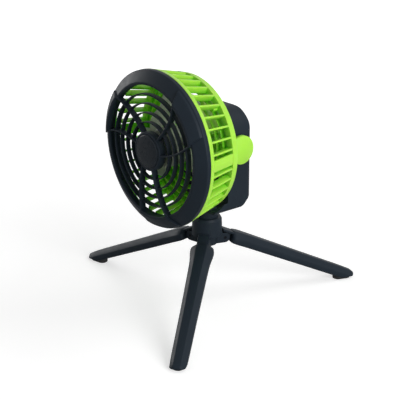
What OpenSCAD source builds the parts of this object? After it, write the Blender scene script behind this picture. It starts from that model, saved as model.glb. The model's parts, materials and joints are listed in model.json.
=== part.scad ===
// Portable camping fan: a round louvred head that tilts on a battery housing,
// which swivels on a folding three-legged stand.
// X is across the head, the head blows towards -Y, Z is up and the floor is Z = 0.
// The origin lies on the floor under the axis of the stand.

/* [Head] */
// Radius of the seam between the front cowl and the louvred ring
rim_r = 95; // [90:0.5:100]
// Radius of the louvred ring at its rear edge
ring_rear_r = 83; // [81:0.5:86]
// Depth of the louvred ring from front to rear
ring_depth = 50.7; // [48:0.1:56]
// Distance from the tilt axis to the rear edge of the louvred ring
ring_gap = 21; // [20:0.5:26]
// Thickness of the moulded walls of the ring
ring_wall = 3; // [2:0.1:4]
// Length of the solid band at the front of the ring
front_band = 6; // [4:0.5:9]
// Length of the solid band at the rear of the ring
rear_band = 9.5; // [5:0.5:10]
// Louvre bars between the side land and the top of the ring
bars_per_quarter = 9; // [6:1:11]
// Angle from the side land's middle to its first louvre bar
first_bar = 8; // [7:0.5:10]
// Thickness of a louvre bar
bar_t = 2.4; // [1.6:0.1:3.2]
// Depth of a louvre bar, measured inwards
bar_depth = 9; // [7:0.5:10]
// Half the height of the solid land at each side of the ring
land_half = 6.7; // [4:0.1:8]
// Depth of the rings of the rear grille
rear_grille_depth = 6.2; // [4.5:0.1:6.2]

/* [Front grille] */
// Radius of the air opening in the cowl
mouth_r = 76.5; // [74:0.5:80]
// Height of the flat lip in front of the seam
lip_z = 14; // [12:0.5:17]
// Width of the flat lip round the opening
lip_w = 4.5; // [3:0.5:6]
// Height of the cowl's outer wall in its low sectors
crease_z = 5.2; // [4:0.1:7]
// Step between the low and the raised sectors
sector_step = 3.2; // [2:0.1:4]
// Thickness of the cowl's wall
cowl_wall = 2.2; // [1.6:0.1:3]
// Radius of the bare disc in the middle of the grille
badge_r = 21.5; // [18:0.5:23]
// Radius of the first grille ring
first_ring_r = 35; // [33:0.5:36]
// Spacing of the grille rings
ring_pitch = 11; // [10:0.1:11.5]
// Number of grille rings
ring_count = 4; // [3:1:4]
// Thickness of a grille ring
grille_t = 1.5; // [1.2:0.1:2]
// Depth of a grille ring
grille_depth = 5; // [3:0.5:6]
// Thickness of a swirl arm
arm_t = 1.9; // [1.4:0.1:2.6]
// Depth of a swirl arm
arm_depth = 7; // [5.5:0.5:8]

/* [Impeller] */
// Number of blades
blades = 3; // [2:1:3]
// Radius of the blade tips
tip_r = 71.5; // [66:0.5:72.5]
// Radius of the impeller's hub
fan_hub_r = 24; // [23.6:0.1:26]
// Thickness of a blade
blade_t = 1.6; // [1.2:0.1:2]
// Depth of a blade along the axis
blade_depth = 24; // [18:0.5:28]
// Angle that a blade covers at its root, seen from the front
blade_span = 43; // [36:1:54]
// Angle by which a blade's tip runs ahead of its root
blade_sweep = 68; // [40:1:75]
// Turn of the impeller at rest
blade_phase = 160; // [0:1:360]
// Radius of the motor shaft
shaft_r = 2; // [1.5:0.1:2.5]
// Radius of the motor's can
motor_r = 20.5; // [18:0.5:21]
// Length of the motor's can
motor_len = 28; // [24:0.5:30]

/* [Housing] */
// Height of the tilt axis above the floor
pivot_z = 213; // [210:0.5:225]
// Distance of the tilt axis in front of the stand's axis
pivot_fwd = 3; // [0:0.5:6]
// Half the width of the housing
case_half = 57; // [56:0.5:58.5]
// Height of the housing above the tilt axis
case_up = 43; // [40:0.5:46]
// Depth of the housing below the tilt axis
case_down = 77; // [74:0.5:80]
// Distance from the tilt axis to the rear face
case_back = 24; // [23:0.5:27]
// Distance from the tilt axis to the front face
case_front = 12; // [11.5:0.5:13]
// Distance from the tilt axis to the tips of the two toes
toe_front = 33; // [28:0.5:36]
// Radius of the two round top corners
shoulder_r = 36; // [28:0.5:38]
// Size of the bevel along the rear bottom edge
bevel = 17.5; // [12:0.5:19]
// Thickness of the housing's walls
case_wall = 2.4; // [1.8:0.1:3]
// Radius of the power button
button_r = 9; // [7:0.5:10]
// Travel of the power button
button_travel = 1.2; // [0.8:0.1:1.5]

/* [Tilt joint] */
// Space between the housing and the inner face of an ear
ear_space = 4.8; // [4.6:0.1:5.5]
// Thickness of an ear
ear_t = 6; // [5:0.1:6.2]
// Radius of the round end of an ear
ear_r = 17.2; // [15:0.1:19]
// Radius of the stub axles
axle_r = 6; // [5:0.1:7]

/* [Stand] */
// Radius of the circle on which the feet stand
foot_ring_r = 188; // [180:1:200]
// Turn of the stand against the head
stand_turn = -20; // [-60:1:60]
// Radius of the hub
hub_r = 19; // [18.5:0.1:20]
// Height of the hub's lower edge
hub_z = 88; // [86:0.5:92]
// Height of the hub's cup
hub_h = 23; // [20:0.5:25]
// Radius of the neck
neck_r = 13.5; // [12:0.5:14]
// Radius of the stand's stud
stud_r = 3.1; // [2.5:0.1:4]
// Distance of the leg pins from the stand's axis
pin_off = 21.5; // [21.2:0.1:23]
// Radius of a leg pin
pin_r = 2; // [1.5:0.1:2.5]
// Radius of the knuckles round the leg pins
knuckle_r = 6.2; // [5:0.1:6.3]
// Width of a leg's tongue between its cheeks
tongue_w = 6.4; // [5:0.1:7]
// Thickness of each cheek
cheek_t = 3.8; // [3:0.1:4.5]
// Width of a leg at its shoulder
leg_w = 29; // [26:0.5:32]
// Width of a leg at its foot
leg_tip_w = 19.5; // [16:0.5:21]
// Thickness of the rubber foot pads
pad_t = 2.2; // [1.6:0.1:3]

/* [Fits] */
// Gap between pieces that move past each other
gap = 0.3; // [0.3:0.05:0.5]
// Radial clearance of a shaft in its bore
run = 0.05; // [0.03:0.01:0.08]

/* [Hidden] */

$fn = 64;
lot = 400;          // longer than any piece, for cutting away
eps = 0.02;         // sinks joined shapes of one piece into each other

// ---- colours ----
black_satin = [0.13, 0.15, 0.18];
black_rubber = [0.09, 0.09, 0.10];
lime = [0.55, 0.86, 0.16];
smoke = [0.45, 0.46, 0.40];
steel = [0.72, 0.73, 0.75];

// ---- head, measured forwards from the tilt axis ----
seam_z = ring_gap + ring_depth;
ring_back = ring_gap;
bar_step = (90 - first_bar) / bars_per_quarter;
function ring_r(z) = ring_rear_r + (rim_r - ring_rear_r) * (z - ring_back) / ring_depth;
spigot_h = 3.5;
spigot_r = rim_r - 0.6 - cowl_wall - 0.2;
cover_t = 6;
cover_r = ring_rear_r - ring_wall - 0.3;
cover_rim = 5.7;
cover_ribs = 8;
cup_wall = 2.5;
cup_h = 13;
screw_ring_r = cover_r - 3.2;
rear_pitch = (cover_r - cover_rim - 6 - first_ring_r) / (ring_count - 1);
lug_r = 3.6;
lug_len = 10;
motor_back = ring_back + 3;
motor_front = motor_back + motor_len;
fan_front = motor_front + 14;
fan_back = motor_front - 8;
blade_mid = (ring_back + cover_t + 4 + fan_front) / 2 + 1;
fan_inner_r = motor_r + 1.3;

// ---- swirl arms: two curves that alternate round the hub ----
arm_front = seam_z + 16;
arm_radii = [24, 50, 80];
arm_low = [119.8, 129.4, 138.8];
arm_high = [166.3, 167.7, 175.1];
function lagrange(r, a) = let (x = arm_radii)
    a[0] * (r - x[1]) * (r - x[2]) / ((x[0] - x[1]) * (x[0] - x[2]))
  + a[1] * (r - x[0]) * (r - x[2]) / ((x[1] - x[0]) * (x[1] - x[2]))
  + a[2] * (r - x[0]) * (r - x[1]) / ((x[2] - x[0]) * (x[2] - x[1]));
function polar(r, a) = [r * cos(a), r * sin(a)];
function arm_point(r, a, side) = let (p = polar(r, lagrange(r, a)),
    q = polar(r + 1, lagrange(r + 1, a)), d = (q - p) / norm(q - p))
    p + side * [-d[1], d[0]];
arm_steps = 9;
function arm_rs(from, to) = [for (i = [0:arm_steps]) from + (to - from) * i / arm_steps];

// ---- housing outline, measured from the tilt axis ----
slope_z = 8;
slope_top = 4;
edge_r = 4;
scoop_r = ring_rear_r + 4;
toe_arc = 25.5;
toe_h = 2.6;
boss_r = neck_r + 4;
ear_in = case_half + ear_space;
axle_end = ear_in - 15.1;
arm_half = ear_r - 5;
bush_r = axle_r + 3;
bush_flange = 0.7;
bush_boss_r = bush_r + 3.5;
bush_boss_x = ear_in - gap - bush_flange;
bush_in = axle_end + gap;
case_low = pivot_z - case_down;
post_r = 4.2;
posts = [[case_half - 10, 27 - case_down], [case_half - 26, case_up - 26]];
post_bite = 4;
screw_sink = 8;
screw_r = 1.5;
head_r = 2.9;
head_h = 2;
board_t = 1.6;
switch_h = 2;
board_y = case_back - case_wall - 2 * gap - button_travel - switch_h - board_t - 1.2;
board_x = 24;
board_low = -44;
board_high = 12;
button_z = -8;
lens_z = -24;
lens_w = 16;
lens_h = 3.2;
port_z = -36;
port_w = 9;
port_h = 3.3;

// ---- stand ----
hub_top = hub_z + hub_h;
neck_seat = hub_top - 7;
washer_t = 1;
socket_depth = 22;
stud_bite = 18;
stud_head_r = 7;
stud_head_t = 4;
hub_floor = 5;
plug_r = 8;
neck_flange_r = neck_r + 0.6;
neck_flange_t = 2.6;
core_r = 12.4;
pin_z = hub_z - knuckle_r - gap;
cheek_gap = tongue_w + 2 * gap;
cheek_w = cheek_gap + 2 * cheek_t;
hood_t = 3;
hood_n = knuckle_r + 0.6;
leg_drop = 25.7;
leg_top = 12;
leg_tip_top = 10.8;
leg_low = 3;
leg_tip_low = 2.1;
pin_to_foot = foot_ring_r - pin_off;
leg_end = (pin_to_foot + 12.5) / cos(leg_drop) ;
pad_l = 24;
pad_w = 13;
pad_plug = 1.4;
cell_r = 9.2;
cell_l = 65;
tray_t = 4;

// ======== placing ========
module at_head() {      // +Z forwards, +Y up, from the tilt axis
    translate([0, -pivot_fwd, pivot_z]) rotate([90, 0, 0]) children();
}
module at_case() {      // X across, Y to the rear, Z up, from the tilt axis
    translate([0, -pivot_fwd, pivot_z]) children();
}
module at_leg(i) {      // X outwards along the leg's plane, from the pin
    rotate([0, 0, 90 + stand_turn - 120 * i]) translate([pin_off, 0, pin_z]) children();
}
module tube(outer, inner, h) {
    difference() {
        cylinder(r = outer, h = h);
        translate([0, 0, -1]) cylinder(r = inner, h = h + 2);
    }
}
module both_sides() {
    children();
    mirror([1, 0, 0]) children();
}
module along_x() rotate([0, 90, 0]) children();
module along_y() rotate([-90, 0, 0]) children();

// ======== front grille and cowl ========
module cowl_profile(step) {
    lip = lip_z + step;
    crease = crease_z + step;
    crease_r = rim_r - 0.3 - step / 2;
    wall = cowl_wall;
    polygon([[rim_r, 0], [crease_r, crease], [mouth_r + lip_w, lip - 0.5], [mouth_r + lip_w - 1, lip],
        [mouth_r + 0.6, lip], [mouth_r, lip - 0.6], [mouth_r, lip_z - 6.5],
        [mouth_r + wall - 0.4, lip_z - 6.5], [mouth_r + wall, lip_z - wall],
        [mouth_r + lip_w, lip_z - wall - 0.4], [rim_r - 0.6 - wall, crease_z - wall * 0.6],
        [rim_r - 0.6 - wall, 0]]);
}
module sector_outline() {   // one raised sector, between a low and a high arm curve
    inner = mouth_r - 4;
    outer = rim_r + 3;
    rs = arm_rs(inner, outer);
    polygon(concat([for (r = rs) arm_point(r, arm_low, 0)],
        [for (i = [arm_steps:-1:0]) arm_point(rs[i], arm_high, 0)]));
}
module arm(a) {
    rs = arm_rs(badge_r - 1.5, mouth_r + 1.2);
    translate([0, 0, arm_front - arm_depth]) linear_extrude(arm_depth)
        polygon(concat([for (r = rs) arm_point(r, a, arm_t / 2)],
            [for (i = [arm_steps:-1:0]) arm_point(rs[i], a, -arm_t / 2)]));
}
module front_grille() color(black_satin) at_head() {
    translate([0, 0, seam_z]) {
        rotate_extrude($fn = 96) cowl_profile(0);
        intersection() {
            rotate_extrude($fn = 96) cowl_profile(sector_step);
            for (k = [0:2]) rotate([0, 0, 120 * k])
                linear_extrude(lip_z + sector_step + 5) sector_outline();
        }
    }
    for (k = [0:2]) rotate([0, 0, 120 * k]) {
        arm(arm_low);
        arm(arm_high);
    }
    for (i = [0:ring_count - 1]) {
        r = first_ring_r + ring_pitch * i;
        translate([0, 0, arm_front - 1 - grille_depth])
            tube(r + grille_t / 2, r - grille_t / 2, grille_depth);
    }
    translate([0, 0, arm_front - arm_depth - 2]) difference() {
        rotate_extrude() polygon([[0, 0], [badge_r - 1, 0], [badge_r, 1],
            [badge_r, arm_depth + 2.4], [badge_r - 0.6, arm_depth + 3], [0, arm_depth + 3]]);
        translate([0, 0, arm_depth + 1]) cylinder(r = badge_r - 1.6, h = 4);
        translate([0, 0, -1]) cylinder(r = badge_r - 3.5, h = arm_depth);
    }
}
module hub_cap() color(black_satin) at_head()
    translate([0, 0, arm_front - 1]) rotate_extrude()
        polygon([[0, 0], [badge_r - 1.8, 0], [badge_r - 1.8, 2.2], [badge_r - 2.6, 3],
            [badge_r * 0.6, 3.6], [badge_r * 0.3, 3.8], [0, 3.9]]);

// ======== louvred ring ========
module ring_band(from, to, wall) {
    sunk = 0.25;        // bars and lands lie just below the face of the solid bands
    rotate_extrude($fn = 96) polygon([[ring_r(from) - sunk, from], [ring_r(to) - sunk, to],
        [ring_r(to) - wall, to], [ring_r(from) - wall, from]]);
}
module louvre_ring() color(lime) at_head() difference() {
    ring_moulding();
    for (k = [0:3]) rotate([0, 0, 45 + 90 * k]) translate([screw_ring_r, 0, ring_back + cover_t - 1])
        cylinder(r = screw_r + run, h = lug_len);
}
module ring_moulding() {
    rear_end = ring_back + rear_band;
    front_end = seam_z - front_band;
    rotate_extrude($fn = 96) polygon([[ring_rear_r - 0.8, ring_back], [ring_rear_r, ring_back + 0.8],
        [ring_r(rear_end), rear_end], [ring_r(rear_end) - bar_depth - 0.3, rear_end],
        [ring_r(rear_end) - bar_depth - 0.3, ring_back + cover_t + 0.2],
        [ring_rear_r - ring_wall, ring_back + cover_t + 0.2], [ring_rear_r - ring_wall, ring_back]]);
    rotate_extrude($fn = 96) polygon([[ring_r(front_end), front_end], [rim_r, seam_z], [spigot_r, seam_z],
        [spigot_r, seam_z + spigot_h - 0.6], [spigot_r - 0.6, seam_z + spigot_h],
        [spigot_r - 2.2, seam_z + spigot_h], [spigot_r - 2.2, seam_z - 3],
        [ring_r(front_end) - ring_wall, front_end]]);
    intersection() {
        ring_band(rear_end - 0.4, front_end + 0.4, bar_depth);
        union() {
            for (s = [1, -1]) for (m = [0, 1]) mirror([m, 0, 0])
                for (k = [0:bars_per_quarter - 1])
                    rotate([0, 0, s * (first_bar + bar_step * k)]) louvre_bar();
            for (s = [90, -90]) rotate([0, 0, s]) louvre_bar();
        }
    }
    intersection() {
        ring_band(rear_end - 0.4, front_end + 0.4, ring_wall + 0.4);
        translate([-lot / 2, -land_half, 0]) cube([lot, 2 * land_half, lot]);
    }
    for (k = [0:3]) rotate([0, 0, 45 + 90 * k]) translate([screw_ring_r, 0, ring_back + cover_t])
        cylinder(r = lug_r + 0.2, h = lug_len);
}
module louvre_bar()
    translate([ring_rear_r - bar_depth - 4, -bar_t / 2, ring_back])
        cube([rim_r - ring_rear_r + bar_depth + 8, bar_t, ring_depth]);

// ======== rear cover with its grille, motor cup and ears ========
module ear() {
    translate([ear_in, 0, 0]) along_x() difference() {
        union() {
            cylinder(r = ear_r, h = ear_t - 0.8);
            translate([0, 0, ear_t - 0.8 - eps]) cylinder(r1 = ear_r, r2 = ear_r - 0.8, h = 0.8 + eps);
            translate([-ring_back - 4, -arm_half, 0]) cube([ring_back + 4, 2 * arm_half, ear_t - 0.8]);
        }
    }
    difference() {
        translate([axle_end, 0, 0]) along_x() cylinder(r = axle_r, h = ear_in - axle_end + 1);
        translate([axle_end - 1, 0, 0]) along_x() cylinder(r = screw_r + run, h = 11);
    }
    translate([first_ring_r + 2 * rear_pitch, -arm_half + 1, ring_back])
        cube([cover_r - first_ring_r - 2 * rear_pitch - 4, 2 * arm_half - 2, cover_t]);
}
module rear_cover() color(lime) at_head() {
    translate([0, 0, ring_back]) {
        difference() {
            tube(cover_r, cover_r - cover_rim, cover_t);
            for (k = [0:3]) rotate([0, 0, 45 + 90 * k]) translate([screw_ring_r, 0, -1])
                cylinder(r = screw_r + run, h = cover_t + 2);
        }
        for (i = [0:ring_count - 1]) {
            r = first_ring_r + rear_pitch * i;
            translate([0, 0, 0.6]) tube(r + grille_t / 2, r - grille_t / 2, rear_grille_depth);
        }
        for (k = [0:cover_ribs - 1]) rotate([0, 0, 360 / cover_ribs * (k + 0.5)])
            translate([motor_r + 1, -1, 0]) cube([cover_r - motor_r - 3, 2, cover_t]);
        difference() {
            cylinder(r = motor_r + cup_wall + run, h = cup_h);
            translate([0, 0, motor_back - ring_back]) cylinder(r = motor_r + run, h = cup_h);
            for (k = [0:2]) rotate([0, 0, 120 * k]) translate([motor_r * 0.6, 0, -1])
                cylinder(r = screw_r + run, h = 6);
        }
    }
    both_sides() ear();
}
module cover_screws() color(steel) at_head()
    for (k = [0:3]) rotate([0, 0, 45 + 90 * k]) translate([screw_ring_r, 0, ring_back]) {
        cylinder(r = screw_r, h = cover_t + lug_len - 2);
        translate([0, 0, -1.4]) cylinder(r = head_r, h = 1.4);
    }

// ======== motor ========
module motor() color(steel) at_head() translate([0, 0, motor_back]) difference() {
    rotate_extrude() polygon([[shaft_r + run, 2], [shaft_r + run, motor_len + 2], [5, motor_len + 2],
        [5, motor_len], [motor_r - 1.5, motor_len], [motor_r, motor_len - 1.5], [motor_r, 0],
        [0, 0], [0, 2]]);
    for (k = [0:2]) rotate([0, 0, 120 * k]) translate([motor_r * 0.6, 0, -1])
        cylinder(r = screw_r + run, h = 6);
}
module motor_screws() color(steel) at_head()
    for (k = [0:2]) rotate([0, 0, 120 * k]) translate([motor_r * 0.6, 0, ring_back]) {
        cylinder(r = screw_r, h = motor_back - ring_back + 4);
        translate([0, 0, -1.4]) cylinder(r = head_r, h = 1.4);
    }
module motor_shaft() color(steel) at_head()
    translate([0, 0, motor_back + 2 + gap]) cylinder(r = shaft_r, h = fan_front - motor_back - 6.5);

// ======== impeller ========
blade_rows = 11;
blade_cols = 6;
// the sheet lies nearly square to the hub, then bends round a shoulder and runs on to the tip
function blade_z(u, v) = blade_depth * (v - 0.5) * (1 - 0.2 * u) + 2 * sin(180 * v);
function blade_bend(u) = 0.7 / (1 + exp((0.36 - u) / 0.06)) + 0.3 * u;
function blade_angle(u, v) = -blade_sweep * blade_bend(u) - (1 - v) * (blade_span + 8 * sin(180 * u) - 8 * u);
function blade_r(u) = fan_hub_r - 1.2 + (tip_r - fan_hub_r + 1.2) * u;
function blade_pt(u, v, side) = let (w = blade_t * (0.35 + 0.65 * sin(180 * (0.08 + 0.84 * v))))
    concat(polar(blade_r(u), blade_angle(u, v)), [blade_mid + blade_z(u, v) + side * w * 0.7]);
module blade() {
    nr = blade_rows;
    nc = blade_cols;
    half = (nr + 1) * (nc + 1);
    pts = [for (side = [1, -1]) for (i = [0:nr]) for (j = [0:nc]) blade_pt(i / nr, j / nc, side)];
    function id(s, i, j) = s * half + i * (nc + 1) + j;
    polyhedron(pts, concat(
        [for (i = [0:nr - 1]) for (j = [0:nc - 1]) each
            [[id(0, i, j), id(0, i, j + 1), id(0, i + 1, j + 1)],
             [id(0, i, j), id(0, i + 1, j + 1), id(0, i + 1, j)],
             [id(1, i, j), id(1, i + 1, j + 1), id(1, i, j + 1)],
             [id(1, i, j), id(1, i + 1, j), id(1, i + 1, j + 1)]]],
        [for (i = [0:nr - 1]) each
            [[id(0, i, 0), id(0, i + 1, 0), id(1, i + 1, 0)], [id(0, i, 0), id(1, i + 1, 0), id(1, i, 0)],
             [id(0, i, nc), id(1, i + 1, nc), id(0, i + 1, nc)],
             [id(0, i, nc), id(1, i, nc), id(1, i + 1, nc)]]],
        [for (j = [0:nc - 1]) each
            [[id(0, 0, j), id(1, 0, j + 1), id(0, 0, j + 1)], [id(0, 0, j), id(1, 0, j), id(1, 0, j + 1)],
             [id(0, nr, j), id(0, nr, j + 1), id(1, nr, j + 1)],
             [id(0, nr, j), id(1, nr, j + 1), id(1, nr, j)]]]), convexity = 6);
}
module impeller() color(smoke) at_head() {
    difference() {
        union() {
            rotate_extrude() polygon([[0, fan_front - 3], [fan_inner_r, fan_front - 3],
                [fan_inner_r, fan_back], [fan_hub_r, fan_back], [fan_hub_r, fan_front - 2.5],
                [fan_hub_r - 2.5, fan_front], [0, fan_front]]);
            translate([0, 0, motor_front + 3]) cylinder(r = 5.5, h = fan_front - motor_front - 4);
        }
        translate([0, 0, motor_front]) cylinder(r = shaft_r + 0.01, h = fan_front - motor_front - 4);
    }
    for (k = [0:blades - 1]) rotate([0, 0, blade_phase + 360 / blades * k]) blade();
}

// ======== housing ========
module case_front_view(i) {
    r = shoulder_r - i;
    w = case_half - i;
    up = case_up - i;
    low = case_down - i;
    br = 5;
    translate([-w, -low + br]) square([2 * w, low - br + up - r]);
    translate([-w + br, -low]) square([2 * w - 2 * br, br + 1]);
    translate([-w + r, up - r - 1]) square([2 * w - 2 * r, r + 1]);
    for (s = [-1, 1]) {
        translate([s * (w - r), up - r]) circle(r = r);
        translate([s * (w - br), -low + br]) circle(r = br);
    }
}
function arc(c, r, a0, a1, n = 8) = [for (k = [0:n]) c + polar(r, a0 + (a1 - a0) * k / n)];
module case_side_view(i) {
    e = edge_r;
    polygon(concat(
        [[-case_front + i, -case_down + i]],
        [[-case_front + i, slope_z]], [[slope_top + i, case_up - i]],
        arc([case_back - e, case_up - e], e - i, 90, 0, 4),
        arc([case_back - e * 2, -case_down + bevel + e * 0.3], e * 2 - i, 0, -45, 4),
        arc([case_back - bevel - e * 0.3, -case_down + e * 2], e * 2 - i, -45, -90, 4)));
}
module toe_side_view() {
    polygon(concat([[0, -case_down], [-toe_front, -case_down], [-toe_front, -case_down + toe_h]],
        arc([-case_front - toe_arc, -case_down + toe_h + toe_arc], toe_arc, -80, 0, 9),
        [[0, -case_down + toe_h + toe_arc]]));
}
module case_plan(i) {
    e = edge_r * 1.6;
    w = case_half - i;
    back = case_back - i;
    translate([-w, -toe_front - 1]) square([2 * w, toe_front + 1 + back - e]);
    translate([-w + e, -toe_front]) square([2 * w - 2 * e, toe_front + back]);
    for (s = [-1, 1]) translate([s * (w - e), back - e]) circle(r = e);
}
module case_solid(i) intersection() {
    rotate([90, 0, 0]) translate([0, 0, -lot / 2]) linear_extrude(lot) case_front_view(i);
    union() {
        rotate([90, 0, 90]) translate([0, 0, -lot / 2]) linear_extrude(lot) case_side_view(i);
        if (i == 0) rotate([90, 0, 90]) translate([0, 0, -lot / 2]) linear_extrude(lot) toe_side_view();
    }
    translate([0, 0, -lot / 2]) linear_extrude(lot) case_plan(i);
}
module neck_axis() translate([0, pivot_fwd, -case_down]) children();
module case_body() difference() {
    union() {
        difference() {
            union() {
                case_solid(0);
                intersection() {
                    neck_axis() cylinder(r = boss_r, h = bevel + 4);
                    translate([-lot / 2, -case_front, -lot / 2]) cube([lot, lot, lot]);
                }
            }
            difference() {
                case_solid(case_wall);
                both_sides() translate([bush_in, 0, 0]) along_x() cylinder(r = bush_boss_r, h = 20);
                both_sides() for (p = posts) translate([p[0], -lot / 2, p[1]]) along_y()
                    cylinder(r = post_r, h = lot);
            }
            neck_axis() translate([0, 0, case_wall]) cylinder(r = neck_flange_r + gap, h = bevel);
        }
        both_sides() translate([case_half - 1, 0, 0]) along_x()
            cylinder(r = bush_boss_r, h = bush_boss_x - case_half + 1);
    }
    // room for the ring, which passes in front of the toes
    translate([0, -case_front - 1, 0]) rotate([90, 0, 0]) cylinder(r = scoop_r, h = lot, $fn = 96);
    neck_axis() translate([0, 0, -1]) cylinder(r = neck_r - 3 + gap, h = case_wall + 2);
    both_sides() translate([bush_in - 1, 0, 0]) along_x() cylinder(r = bush_r + run, h = lot);
    both_sides() for (p = posts) translate([p[0], 0, p[1]]) {
        translate([0, -post_bite - 0.5, 0]) along_y() cylinder(r = screw_r + run, h = lot);
        translate([0, case_back - screw_sink, 0]) along_y() cylinder(r = head_r + 0.4, h = lot);
    }
}
module front_shell() color(black_satin) at_case() intersection() {
    case_body();
    translate([-lot / 2, -lot, -lot / 2]) cube([lot, lot, lot]);
}
module rear_shell() color(black_satin) at_case() difference() {
    intersection() {
        case_body();
        translate([-lot / 2, 0, -lot / 2]) cube([lot, lot, lot]);
    }
    translate([0, 0, button_z]) along_y() cylinder(r = button_r + gap, h = lot);
    translate([-lens_w / 2, 0, lens_z - lens_h / 2]) cube([lens_w, lot, lens_h]);
    translate([-port_w / 2 - 0.2, 0, port_z - port_h / 2 - 0.2]) cube([port_w + 0.4, lot, port_h + 0.4]);
}
module bush() translate([bush_in, 0, 0]) along_x() difference() {
    union() {
        cylinder(r = bush_r, h = bush_boss_x - bush_in + 0.1);
        translate([0, 0, bush_boss_x - bush_in]) cylinder(r = bush_r + 2, h = bush_flange);
    }
    translate([0, 0, -1]) cylinder(r = axle_r + run, h = 30);
}
module pivot_bush_right() color(black_rubber) at_case() bush();
module pivot_bush_left() color(black_rubber) at_case() mirror([1, 0, 0]) bush();
module pivot_washers() color(steel) at_case() both_sides()
    translate([axle_end - 1, 0, 0]) along_x() tube(bush_r - 0.5, screw_r + run, 1);
module pivot_screws() color(steel) at_case() both_sides() translate([axle_end - 1, 0, 0]) along_x() {
    translate([0, 0, -head_h]) cylinder(r = head_r, h = head_h);
    cylinder(r = screw_r, h = 10);
}
module housing_screws() color(steel) at_case() both_sides() for (p = posts)
    translate([p[0], 0, p[1]]) {
        translate([0, -post_bite, 0]) along_y() cylinder(r = screw_r, h = case_back - screw_sink + post_bite);
        translate([0, case_back - screw_sink, 0]) along_y() cylinder(r = head_r, h = head_h);
    }
module battery_tray() color(black_rubber) at_case() {
    low = -case_down + case_wall + neck_flange_t;
    w = 4 * cell_r + 3;
    back = board_y - 1;
    front = -case_front + case_wall;
    intersection() {
        case_solid(case_wall + 0.1);
        difference() {
            translate([-w, front, low]) cube([2 * w, back - front, tray_t + 12]);
            for (k = [-1.5:1:1.5]) translate([k * (2 * cell_r + 0.3), front + cell_r + 1.2, low + tray_t])
                cylinder(r = cell_r + run, h = 40);
        }
    }
}
module battery_cells() color([0.25, 0.45, 0.6]) at_case() {
    low = -case_down + case_wall + neck_flange_t + tray_t;
    front = -case_front + case_wall;
    for (k = [-1.5:1:1.5]) translate([k * (2 * cell_r + 0.3), front + cell_r + 1.2, low]) {
        cylinder(r = cell_r, h = cell_l - 1.2);
        cylinder(r = 3, h = cell_l);
    }
}
module circuit_board() color([0.1, 0.35, 0.2]) at_case() {
    translate([-board_x, board_y, board_low]) cube([2 * board_x, board_t, board_high - board_low]);
    // push switch under the button
    translate([-3, board_y + board_t, button_z - 3]) cube([6, switch_h, 6]);
    // spacers that hold the board off the rear wall
    for (x = [-1, 1]) for (z = [board_low + 5, board_high - 5])
        translate([x * (board_x - 4), board_y + board_t, z]) along_y()
            cylinder(r = 2.5, h = case_back - case_wall - board_y - board_t);
}
module usb_socket() color(steel) at_case()
    translate([-port_w / 2, board_y + board_t, port_z - port_h / 2]) difference() {
        cube([port_w, case_back - board_y - board_t - 0.5, port_h]);
        translate([0.5, 1, 0.5]) cube([port_w - 1, 20, port_h - 1]);
    }
module indicator_lens() color([0.85, 0.88, 0.9]) at_case()
    translate([-lens_w / 2, board_y + board_t, lens_z - lens_h / 2])
        cube([lens_w, case_back - board_y - board_t + 0.2, lens_h]);
module power_button() color(black_rubber) at_case() translate([0, 0, button_z]) {
    face = case_back + button_travel + 0.2;
    translate([0, case_back - case_wall - gap - 1, 0]) along_y() {
        cylinder(r = button_r, h = face - (case_back - case_wall - gap - 1) - 0.5);
        cylinder(r = button_r + 1.6, h = 1);
        cylinder(r = button_r - 0.5, h = face - (case_back - case_wall - gap - 1));
    }
}

// ======== neck and hub ========
module neck() color(black_satin) difference() {
    union() {
        translate([0, 0, neck_seat + washer_t]) cylinder(r = neck_r, h = case_low - neck_seat - washer_t);
        translate([0, 0, case_low - eps]) cylinder(r = neck_r - 3, h = case_wall + eps);
        translate([0, 0, case_low + case_wall]) cylinder(r = neck_flange_r, h = neck_flange_t);
    }
    translate([0, 0, neck_seat]) cylinder(r = stud_r + 2.2, h = socket_depth);
}
module neck_insert() color([0.75, 0.6, 0.3])
    translate([0, 0, neck_seat + washer_t + 1.5]) tube(stud_r + 2.15, stud_r + run, stud_bite);
module swivel_washer() color(black_rubber)
    translate([0, 0, neck_seat]) tube(neck_r - 0.5, stud_r + 0.5, washer_t - gap);
module hub_lugs() for (i = [0:2]) at_leg(i) {
    difference() {
        translate([0, cheek_w / 2, 0]) rotate([90, 0, 0]) cylinder(r = knuckle_r, h = cheek_w);
        translate([-20, -cheek_gap / 2, -20]) cube([40, cheek_gap, 40]);
        translate([0, cheek_w, 0]) rotate([90, 0, 0]) cylinder(r = pin_r + 0.02, h = 2 * cheek_w);
    }
    for (s = [-1, 1]) difference() {
        translate([core_r - pin_off - 2, s * (cheek_gap + cheek_t) / 2 - cheek_t / 2, -knuckle_r])
            cube([pin_off - core_r + 2, cheek_t, 2 * knuckle_r]);
        translate([0, cheek_w, 0]) rotate([90, 0, 0]) cylinder(r = pin_r + 0.02, h = 2 * cheek_w);
    }
}
module tripod_hub() color(black_satin) difference() {
    union() {
        rotate_extrude() polygon([[0, hub_z], [hub_r, hub_z], [hub_r - 0.7, hub_top - 3],
            [hub_r - 2.2, hub_top], [0, hub_top]]);
        translate([0, 0, pin_z - knuckle_r]) cylinder(r = core_r, h = hub_z - pin_z + knuckle_r + 1);
        hub_lugs();
        for (i = [0:2]) at_leg(i) for (s = [-1, 1])
            translate([-9, s * (cheek_gap + cheek_t) / 2 - cheek_t / 2, 0])
                cube([hub_r - pin_off + 8.2, cheek_t, hub_z - pin_z + 1]);
    }
    translate([0, 0, neck_seat]) cylinder(r = neck_r + gap, h = 20);
    translate([0, 0, hub_z - hub_floor - 1]) cylinder(r = stud_r + run, h = lot);
    translate([0, 0, pin_z - knuckle_r - 1])
        cylinder(r = plug_r, h = hub_z - pin_z + knuckle_r + 1 - hub_floor);
}
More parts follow.
